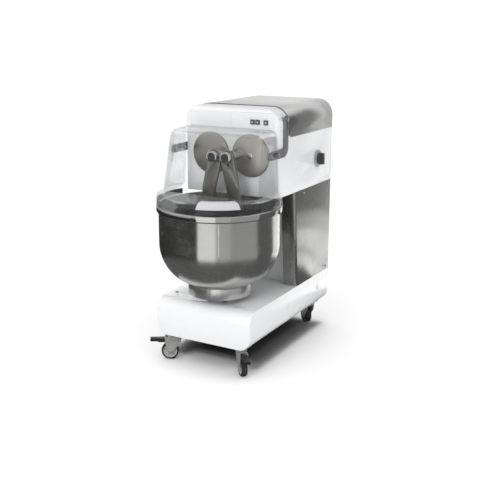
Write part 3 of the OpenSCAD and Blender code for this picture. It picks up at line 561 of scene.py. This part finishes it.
def make_bowl():
    """The bowl turned as one thin sheet: rolled rim, band, straight wall and dished bottom."""
    lo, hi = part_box("bowl")
    rim_r = (hi.x - lo.x) / 2
    wall_r = rim_r - BAND_REACH
    sheet = 2.5 * MM
    curve_r = 195 * MM
    band = 30 * MM
    flat_r = wall_r - curve_r
    curve_z = lo.z + curve_r
    under_band = hi.z - band - 1 * MM
    outer = [(0, lo.z)] + arc(flat_r, curve_z, curve_r, -90, 0, 40)
    outer += arc(wall_r + 3 * MM, under_band, 3 * MM, 180, 90, 4)
    outer += arc(rim_r - 5 * MM, hi.z - band + 7 * MM, 5 * MM, -90, 0, 5)
    outer += arc(rim_r - 4 * MM, hi.z - 4 * MM, 4 * MM, 0, 90, 6)
    inner = arc(wall_r - sheet + 4 * MM, hi.z - 4 * MM, 4 * MM, 90, 180, 5)
    inner += arc(flat_r, curve_z, curve_r - sheet, 0, -90, 40) + [(0, lo.z + sheet)]
    verts, faces = lathe(outer + inner, (bowl_axis.x, bowl_axis.y, 0), (0, 0, 1), 192)
    obj = piece("bowl_spun_shell", verts, faces, "bowl", bowl_steel, angle=50)
    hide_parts("bowl")


def make_rim_clips():
    """Four small black stops on the bowl's rim band."""
    lo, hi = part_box("bowl")
    rim_r = (hi.x - lo.x) / 2
    parts = []
    for k in range(4):
        a = math.radians(-83 + 90 * k)
        out = Vector((math.cos(a), math.sin(a), 0))
        origin = Vector((bowl_axis.x, bowl_axis.y, hi.z - 17 * MM)) + out * (rim_r - 1 * MM)
        parts.append(extrude(rounded_box_outline(16 * MM, 17 * MM, 3 * MM), origin, out, 0, 3.5 * MM))
    verts, faces = joined(*parts)
    piece("rim_stops", verts, faces, "bowl", black_plastic, 0.8)


def make_bowl_seam():
    """Ground weld seam down the bowl's straight wall."""
    lo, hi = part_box("bowl")
    wall_r = (hi.x - lo.x) / 2 - BAND_REACH
    verts = []
    for z in (lo.z + 196 * MM, hi.z - 32 * MM):
        for k in range(4):
            a = math.radians(-60) + (k - 1.5) * 1.8 * MM / wall_r
            r = wall_r + (0.1 if k in (0, 3) else 0.35) * MM
            verts.append((bowl_axis.x + r * math.cos(a), bowl_axis.y + r * math.sin(a), z))
    faces = [[k, k + 1, k + 5, k + 4] for k in range(3)]
    piece("bowl_seam", verts, faces, "bowl", seam_steel, angle=60)


def make_tyre(castor, origin, axis, wheel_r, rim_r):
    """Rubber tyre with rounded shoulders, in place of the plain wheel."""
    shoulder = 5.5 * MM
    bead = WHEEL_HALF - 3 * MM
    side = WHEEL_HALF - shoulder
    tyre = [(rim_r, -bead)] + arc(wheel_r - 6 * MM, -side, shoulder, -110, -20, 6) + [(wheel_r, 0)]
    tyre += arc(wheel_r - 6 * MM, side, shoulder, 20, 110, 6) + [(rim_r, bead)]
    verts, faces = lathe(tyre, origin, axis, 72, closed=True)
    body = castor + "_wheel"
    obj = piece(castor + "_tyre", verts, faces, body, tyre_rubber, angle=45)
    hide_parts(body)


def make_rim(castor, origin, axis, rim_r):
    """Rim with a recessed web and six ribs on each face."""
    half = WHEEL_HALF
    web = 4 * MM
    rim = [(5.2 * MM, -half), (9 * MM, -half), (11 * MM, -half + 1 * MM), (12 * MM, -web),
           (rim_r - 5 * MM, -web), (rim_r - 3 * MM, -half + 3 * MM), (rim_r, -half + 2.5 * MM)]
    rim += [(r, -h) for r, h in reversed(rim)]
    rib_end = rim_r - 3 * MM
    rib = [(11 * MM, -1.3 * MM), (rib_end, -1.0 * MM), (rib_end, 1.0 * MM), (11 * MM, 1.3 * MM)]
    caps = [[3, 2, 1, 0], [4, 5, 6, 7]]
    sides = [[i, (i + 1) % 4, 4 + (i + 1) % 4, 4 + i] for i in range(4)]
    parts = [lathe(rim, origin, axis, 60, closed=True)]
    for k in range(6):
        spoke = axes_for(axis) @ Matrix.Rotation(TURN * k / 6, 3, "Z")
        for sign in (-1, 1):
            low, high = sorted((sign * (web - 1 * MM), sign * (half - 3.5 * MM)))
            verts = [origin + spoke @ Vector((x, y, h)) for h in (low, high) for x, y in rib]
            parts.append((verts, caps + sides))
    verts, faces = joined(*parts)
    piece(castor + "_rim", verts, faces, castor + "_wheel", rim_plastic, angle=30)


def make_axle_nuts(castor, origin, axis):
    """Nut and washer on each side of the axle, which stay with the fork."""
    parts = []
    for sign in (-1, 1):
        face = origin + axis * sign * (WHEEL_HALF + 4.5 * MM)
        washer = [(0, 0), (8.6 * MM, 0), (8.6 * MM, 0.8 * MM), (0, 0.8 * MM)]
        parts.append(extrude(hexagon(6.8 * MM), face, axis * sign, 0.6 * MM, 4.2 * MM))
        parts.append(lathe(washer, face, axis * sign, 32))
    verts, faces = joined(*parts)
    piece(castor + "_axle_nuts", verts, faces, castor + "_castor", zinc_plate, 0.5)


def make_wheel(castor):
    """One castor's tyre, rim and axle nuts."""
    roll = joint[castor + "_roll"]
    origin = Vector(roll["pos_m"])
    axis = Vector(roll["axis"])
    wheel_r = origin.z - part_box(castor + "_wheel")[0].z
    rim_r = wheel_r - 9 * MM
    make_tyre(castor, origin, axis, wheel_r, rim_r)
    make_rim(castor, origin, axis, rim_r)
    make_axle_nuts(castor, origin, axis)


def make_plate_bolts():
    """Four bolts that hold each castor plate to the chassis."""
    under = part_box("castor_plates")[1].z - 4 * MM
    reach = 28 * MM
    parts = []
    for castor in CASTORS:
        swivel = Vector(joint[castor + "_swivel"]["pos_m"])
        for sx in (-1, 1):
            for sy in (-1, 1):
                place = (swivel.x + sx * reach, swivel.y + sy * reach, under)
                parts.append(extrude(hexagon(7 * MM), place, (0, 0, -1), 0, 4.5 * MM))
    verts, faces = joined(*parts)
    piece("castor_plate_bolts", verts, faces, "machine", zinc_plate, 0.6)


def make_disc_bolts():
    """Centre bolt with its washer on each crank disc, and a black cap on each arm hub: painted shade of the
    hub's open end.
    """
    for side in SIDES:
        centre = disc_centre[side].copy()
        centre.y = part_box(side + "_crank_disc")[0].y
        washer = [(0, 0), (14 * MM, 0), (14 * MM, 1.6 * MM), (13 * MM, 2.2 * MM), (0, 2.2 * MM)]
        verts, faces = joined(
            lathe(washer, centre, (0, -1, 0), 48),
            extrude(hexagon(8 * MM), centre, (0, -1, 0), 2.0 * MM, 8 * MM))
        piece(side + "_disc_bolt", verts, faces, side + "_crank", bright_steel, 0.6)
        hub = middle(side + "_arm_hub")
        hub.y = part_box(side + "_arm_hub")[0].y
        cap = [(0, -0.5 * MM), (19 * MM, -0.5 * MM), (19 * MM, 1.2 * MM), (17.5 * MM, 2.4 * MM),
               (8 * MM, 3.0 * MM), (7 * MM, 4.5 * MM), (0, 4.8 * MM)]
        verts, faces = lathe(cap, hub, (0, -1, 0), 48)
        # black cap: painted shade inside the hub's open end
        piece(side + "_hub_end_shade", verts, faces, side + "_arm", black_plastic)


def block(lo, hi):
    """Vertices and faces of a box between two corners."""
    verts = [(x, y, z) for z in (lo[2], hi[2]) for y in (lo[1], hi[1]) for x in (lo[0], hi[0])]
    return verts, [[0, 2, 3, 1], [4, 5, 7, 6], [0, 1, 5, 4], [2, 6, 7, 3], [0, 4, 6, 2], [1, 3, 7, 5]]


def make_button_details():
    """A small window in each push button and a printed frame round it."""
    print_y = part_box("control_panel")[0].y - 0.15 * MM
    outer = rounded_box_outline(25 * MM, 25 * MM, 3 * MM)
    inner = rounded_box_outline(22.5 * MM, 22.5 * MM, 2 * MM)
    window = rounded_box_outline(8 * MM, 8 * MM, 1.5 * MM)
    n = len(outer)
    frames = []
    for button in BUTTONS:
        face = middle(button)
        ring = [(face.x + x, print_y, face.z + z) for x, z in outer + inner]
        frames.append((ring, [[k, (k + 1) % n, n + (k + 1) % n, n + k] for k in range(n)]))
        face.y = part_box(button)[0].y
        verts, faces = extrude(window, face, (0, -1, 0), -0.3 * MM, 0.5 * MM)
        piece(button + "_window", verts, faces, button, window_plastic, 0.3)
    verts, faces = joined(*frames)
    piece("button_frames", verts, faces, "machine", ink_grey)


def make_selector_details():
    """Scale marks on the selector's plate and a pointer line on its grip."""
    centre = middle("knob_plate")
    centre.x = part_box("knob_plate")[0].x + 4.1 * MM
    marks = []
    for k in range(7):
        a = math.radians(-30 + 20 * k)
        out = Vector((0, math.sin(a), math.cos(a)))
        side = Vector((0, math.cos(a), -math.sin(a))) * 0.6 * MM
        near = centre + out * 33.8 * MM
        far = centre + out * 38 * MM
        marks.append(([near - side, near + side, far + side, far - side], [[0, 1, 2, 3]]))
    verts, faces = joined(*marks)
    piece("selector_scale", verts, faces, "machine", white_plastic)
    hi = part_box("selector_knob")[1]
    verts, faces = block((hi.x - 0.3 * MM, centre.y - 1.1 * MM, hi.z - 19 * MM),
                         (hi.x + 0.4 * MM, centre.y + 1.1 * MM, hi.z - 5 * MM))
    piece("selector_pointer", verts, faces, "selector_knob", white_plastic, 0.2)


def head_centres(points):
    """Centres of the screw heads whose end faces hold the given points."""
    centres = []
    while points:
        group = [p for p in points if (p - points[0]).length < 12 * MM]
        points = [p for p in points if (p - points[0]).length >= 12 * MM]
        low, high = Vector(map(min, *group)), Vector(map(max, *group))
        centres.append((low + high) / 2)
    return centres


def make_screw_recess_shade():
    """Crosshead recesses on the cover screws, drawn as flat black crosses on each head: painted shade in the
    recesses.
    """
    points = [v.co.copy() for v in nodes["cover_screws"].data.vertices]
    lo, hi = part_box("cover_screws")
    marks = []
    for out, reach in (((1, 0, 0), hi.x), ((-1, 0, 0), -lo.x), ((0, 1, 0), hi.y)):
        out = Vector(out)
        turn = Matrix.Rotation(math.radians(22), 3, out)
        for centre in head_centres([p for p in points if abs(p.dot(out) - reach) < 0.1 * MM]):
            for tilt in (0, 90):
                arm = Matrix.Rotation(math.radians(tilt), 3, out) @ turn @ Vector((0, 0, 3 * MM))
                wide = arm.cross(out) * 0.2
                base = centre + out * 0.06 * MM
                quad = [base - arm - wide, base - arm + wide, base + arm + wide, base + arm - wide]
                marks.append((quad, [[0, 1, 2, 3]]))
    verts, faces = joined(*marks)
    # flat black crosses: painted shade in the screws' recesses
    piece("screw_recess_shade", verts, faces, "machine", black_plastic)


def make_louvres():
    """Hooded louvres over the slots of the rear cover."""
    lo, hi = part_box("rear_cover")
    turns = [math.radians(15 * k) for k in range(1, 7)]
    hood = [(0, 6 * MM)]
    hood += [(5.5 * MM * math.sin(t), 15 * MM - 9.5 * MM * math.cos(t)) for t in turns]
    hood += [(0, 18 * MM)]
    n = len(hood)
    faces = [[k, k + 1, n + k + 1, n + k] for k in range(n - 1)]
    faces += [list(range(n))[::-1], list(range(n, 2 * n))]
    parts = []
    for x in (-85 * MM, 85 * MM):
        for row in range(8):
            z = lo.z + (172 + 24 * row) * MM
            verts = [(end, hi.y + out, z + up) for end in (x - 64 * MM, x + 64 * MM) for out, up in hood]
            parts.append((verts, faces))
    verts, faces = joined(*parts)
    piece("rear_louvres", verts, faces, "machine", side_steel, angle=50)


def make_cover_gap_shadow():
    """Black strip along the front edge of the steel cover, over the head and down its two sides: painted
    shadow of the gap between the head and the cover.
    """
    lo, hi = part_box("top_cover")
    bend_r = 75 * MM
    low = lo.z + 8 * MM
    rings = []
    for grow in (0.6 * MM, -1.5 * MM):
        x = hi.x - bend_r
        z = hi.z - bend_r
        r = bend_r + grow
        over = arc(x, z, r, 0, 90, 10) + arc(-x, z, r, 90, 180, 10)
        rings.append([(x + r, low)] + over + [(-x - r, low)])
    outline = rings[0] + rings[1][::-1]
    n = len(outline)
    verts = [(x, y, z) for y in (lo.y - 4 * MM, lo.y) for x, z in outline]
    half = n // 2
    caps = [[k, k + 1, n - k - 2, n - k - 1] for k in range(half - 1)]
    faces = caps + [[i + n for i in reversed(f)] for f in caps]
    faces += [[(k + 1) % n, k, n + k, n + (k + 1) % n] for k in range(n)]
    # black strip: painted shadow in the gap at the cover's front edge
    piece("cover_gap_shadow", verts, faces, "machine", black_rubber)


def make_guard_field():
    """Pale frosted field on the front slope of the guard's shelf, without lettering."""
    lo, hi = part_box("guard_shield")
    skirt_r = (hi.x - lo.x) / 2
    shoulder = 25 * MM
    centre_z = 790 * MM - shoulder
    rows = [(skirt_r - shoulder - 16 * MM, 790.25 * MM)]
    rows += [(skirt_r - shoulder + r, centre_z + z) for r, z in arc(0, 0, shoulder + 0.25 * MM, 90, 0, 6)]
    rows += [(skirt_r + 0.25 * MM, centre_z - 4 * MM)]
    columns = 24
    verts = []
    for j, (r, z) in enumerate(rows):
        half = math.radians(16.5 + 3 * j / (len(rows) - 1))
        for i in range(columns + 1):
            a = math.radians(-60.5) + half * (2 * i / columns - 1)
            verts.append((bowl_axis.x + r * math.cos(a), bowl_axis.y + r * math.sin(a), z))
    corners = [j * (columns + 1) + i for j in range(len(rows) - 1) for i in range(columns)]
    faces = [[k, k + 1, k + columns + 2, k + columns + 1] for k in corners]
    piece("guard_field", verts, faces, "guard", guard_field, angle=60)


# ---- stage: floor, backdrop, panels, light and camera ----

# panels round the bowl that only reflections see: azimuth from and to in degrees from the front,
# height from and to in metres, and brightness
PANELS = {
    "dark_left": (-125, -7, 0.0, 0.52, 0.03),
    "dim_left": (-125, -7, 0.52, 1.5, 0.6),
    "bright_front": (-7, 24, 0.0, 1.5, 1.15),
    "soft_right": (24, 48, 0.0, 1.5, 0.6),
    "grey_right": (48, 98, 0.0, 1.5, 0.45),
    "dark_right": (98, 139, 0.0, 1.5, 0.14),
    "side_low": (139, 162, 0.0, 0.12, 1.35),
    "side_band": (139, 162, 0.12, 0.20, 0.8),
    "side_middle": (139, 162, 0.20, 0.38, 1.3),
    "side_high": (139, 162, 0.38, 0.55, 0.75),
    "side_top": (139, 162, 0.55, 1.5, 0.28),
    "rear_low": (162, 235, 0.0, 0.5, 1.7),
    "rear_high": (162, 235, 0.5, 2.4, 1.0),
}
PANEL_R = 1.27
SHADOW_ONLY = ("camera", "glossy", "transmission")  # the kinds of ray that miss the dark cards


def stage_mesh(name, verts, faces, material, hidden=()):
    """A stage object, hidden from the named kinds of ray."""
    mesh = bpy.data.meshes.new(name)
    mesh.from_pydata(verts, [], faces)
    obj = bpy.data.objects.new(name, mesh)
    bpy.context.scene.collection.objects.link(obj)
    assign(obj, material)
    for kind in hidden:
        setattr(obj, "visible_" + kind, False)


def curved_wall(centre, radius, start, stop, low, high):
    """Part of an upright cylinder; angles in degrees from the front, growing to the right."""
    steps = max(2, round((stop - start) / 6))
    turns = [math.radians(start + (stop - start) * k / steps) for k in range(steps + 1)]
    plan = [(centre[0] + radius * math.sin(a), centre[1] - radius * math.cos(a)) for a in turns]
    verts = [(x, y, z) for z in (low, high) for x, y in plan]
    n = steps + 1
    return verts, [[k, k + 1, n + k + 1, n + k] for k in range(steps)]


def glowing(name, level):
    """An evenly lit cloth."""
    g = Graph(name)
    weave = g.remap(g.noise(g.place, 300, 3), 0.97 * level, 1.03 * level)
    g.material.cycles.emission_sampling = "NONE"
    return g.done(Base_Color=(0, 0, 0, 1), Specular_IOR_Level=0.0, Emission_Color=(1, 1, 1, 1),
                  Emission_Strength=weave)


def stage_sheet(name, left, right, low, high, level, material, hidden=()):
    """A flat stage object at one height."""
    verts = [(left, low, level), (right, low, level), (right, high, level), (left, high, level)]
    stage_mesh(name, verts, [[0, 1, 2, 3]], material, hidden)


def make_floor():
    half = 9.0
    stage_sheet("floor", -half, half, -half, half, 0, floor_material())


def make_backdrop():
    """White cloth behind the floor, seen by the camera alone."""
    verts, faces = curved_wall((0, 0), 8.8, 0, 360, -0.5, 9.0)
    stage_mesh("backdrop", verts, faces, glowing("white_cloth", 1.1),
               ("diffuse", "glossy", "transmission", "shadow", "volume_scatter"))


def make_panels():
    unseen = ("camera", "diffuse", "transmission", "shadow", "volume_scatter")
    centre = (bowl_axis.x, bowl_axis.y)
    for name, (start, stop, low, high, level) in PANELS.items():
        verts, faces = curved_wall(centre, PANEL_R, start, stop, low, high)
        stage_mesh("panel_" + name, verts, faces, glowing("cloth_" + name, level), unseen)
    for name, z, level in (("below", 0.004, 0.14), ("above", 2.5, 0.5)):
        ring = [(centre[0] + x, centre[1] + y, z) for x, y in arc(0, 0, PANEL_R, 0, 350, 35)]
        stage_mesh("panel_" + name, ring, [list(range(36))], glowing("cloth_" + name, level), unseen)


def area_light(name, place, target, size, power):
    data = bpy.data.lights.new(name, "AREA")
    data.shape = "RECTANGLE"
    data.size, data.size_y = size
    data.energy = power
    light = bpy.data.objects.new(name, data)
    light.location = place
    light.rotation_euler = (Vector(target) - Vector(place)).to_track_quat("-Z", "Y").to_euler()
    light.visible_glossy = False
    bpy.context.scene.collection.objects.link(light)


def dull_cloth(name, colour):
    """Dark cloth that returns almost no light."""
    g = Graph(name)
    return g.done(Base_Color=colour, Roughness=g.remap(g.noise(g.place, 200), 0.8, 0.95))


def make_shadow_cards():
    """Black cards under the base that deepen its shadow on the floor, the lower one smaller."""
    lo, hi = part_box("base_shell")
    for name, inset, level in (("upper", 0.0, 0.035), ("lower", 0.06, 0.014)):
        card = dull_cloth(name + "_black_card", srgb(8))
        stage_sheet(name + "_shadow_card", lo.x - 0.03 + inset, hi.x - 0.01 - inset, lo.y + 0.10 + inset,
                    hi.y - inset, level, card, SHADOW_ONLY)


def make_flag():
    """Dark flag over the head that keeps the overhead light off its top edges."""
    lo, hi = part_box("head_shell")
    stage_sheet("flag", lo.x - 0.25, hi.x + 0.25, lo.y, hi.y, hi.z + 0.35, dull_cloth("flag_cloth", srgb(40)),
                SHADOW_ONLY)


def make_world():
    """A plain room, dim at the horizon and bright overhead."""
    world = bpy.data.worlds.new("pale_room")
    bpy.context.scene.world = world
    world.use_nodes = True
    tree = world.node_tree
    background = tree.nodes["Background"]
    coords = tree.nodes.new("ShaderNodeTexCoord")
    split = tree.nodes.new("ShaderNodeSeparateXYZ")
    level = tree.nodes.new("ShaderNodeMapRange")
    level.inputs["To Min"].default_value = 0.4
    level.inputs["To Max"].default_value = 1.6
    tree.links.new(coords.outputs["Generated"], split.inputs[0])
    tree.links.new(split.outputs["Z"], level.inputs["Value"])
    tree.links.new(level.outputs["Result"], background.inputs["Strength"])
    background.inputs["Color"].default_value = (1.0, 1.0, 1.0, 1)


def make_camera():
    data = bpy.data.cameras.new("camera")
    data.sensor_width = 36
    data.lens = 61.08
    data.clip_end = 60
    camera = bpy.data.objects.new("camera", data)
    camera.location = (1.8251, -3.2293, 1.4914)
    camera.rotation_euler = (math.radians(90 - 14.733), 0, math.radians(29.672))
    bpy.context.scene.collection.objects.link(camera)
    bpy.context.scene.camera = camera


for node_name, material in FINISH.items():
    assign(nodes[node_name], material)
for node_name in EDGE:
    soften(node_name)
for node_name in nodes:
    if node_name not in EDGE:
        shade(nodes[node_name])

make_bowl()
make_bowl_seam()
make_rim_clips()
for castor in CASTORS:
    make_wheel(castor)
make_plate_bolts()
make_disc_bolts()
make_button_details()
make_selector_details()
make_screw_recess_shade()
make_louvres()
make_cover_gap_shadow()
make_guard_field()

make_floor()
make_backdrop()
make_panels()
make_shadow_cards()
make_flag()
make_world()
area_light("key_softbox", (-0.4, -3.85, 1.9), (0, -0.1, 0.6), (1.8, 1.8), 64)
area_light("side_softbox", (2.4, 0.9, 0.35), (0.24, 0.25, 0.2), (1.6, 0.8), 15)
make_camera()
bpy.context.scene.view_settings.view_transform = "Standard"
